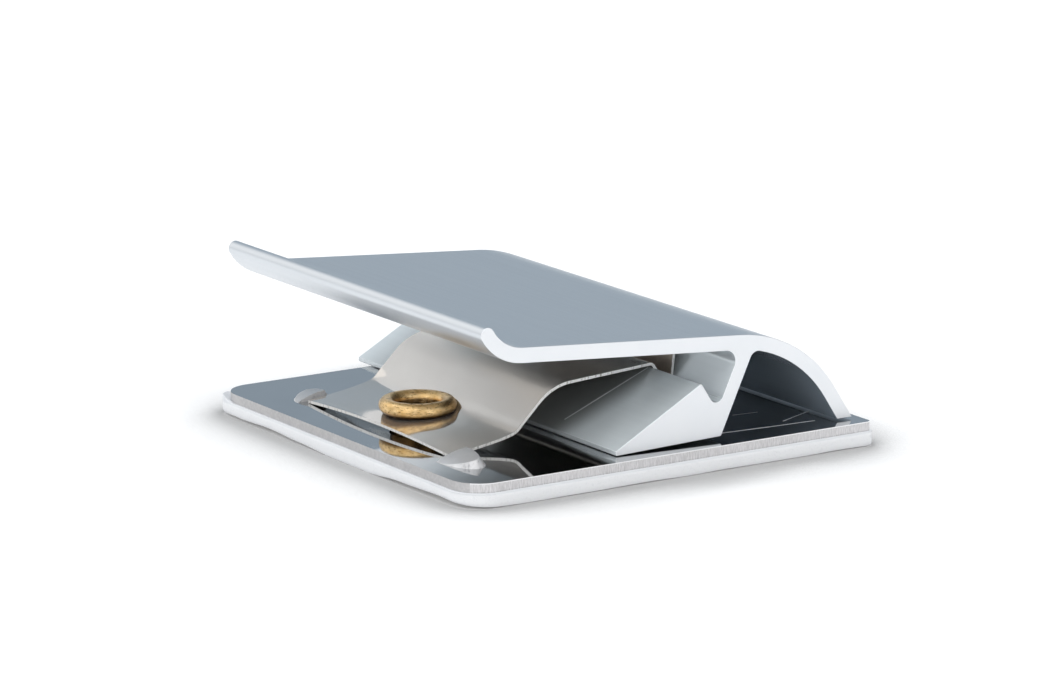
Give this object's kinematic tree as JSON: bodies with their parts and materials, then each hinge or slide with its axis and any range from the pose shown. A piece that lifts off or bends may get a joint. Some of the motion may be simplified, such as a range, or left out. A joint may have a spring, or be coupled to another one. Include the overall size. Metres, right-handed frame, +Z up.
{
  "type": "letter clip",
  "caption": "Self-adhesive desk letter clip: a rocking extruded lever with a turned-up lip, held down on a polished plate by a leaf spring riveted with a brass eyelet.",
  "frame": {"origin": "centre of the base plate's outline, on the underside of the adhesive pad's liner", "axes": "+Z up out of the adhesive face, +X from the turned-up lip to the clamping tail, Y along the lever's extrusion"},
  "size_m": [0.0506, 0.0527, 0.018],
  "materials": {
    "polished_steel": "mirror polished, bright cut edges",
    "white_foam": "closed-cell foam, fine grain",
    "liner_paper": "smooth coated paper",
    "spring_steel": "polished strip, sheared edges",
    "eyelet_brass": "bright rolled brass, slightly tarnished",
    "anodised_aluminium": "satin clear anodised, bright sawn ends"
  },
  "bodies": {
    "base": {"base_plate": "polished_steel", "foam_pad": "white_foam", "release_liner": "liner_paper", "leaf_spring": "spring_steel", "eyelet": "eyelet_brass"},
    "lever": {"clip_lever": "anodised_aluminium"}
  },
  "joints": [
    {"name": "lever_rock", "type": "hinge", "parent": "base", "child": "lever", "pos_m": [-0.00588, 0.0022, 0.00287], "axis": [0, -1, 0], "range_deg": [0, 16], "stiffness_Nm_per_rad": 0.3, "springref_deg": -5.73, "deforming": ["leaf_spring"]}
  ]
}
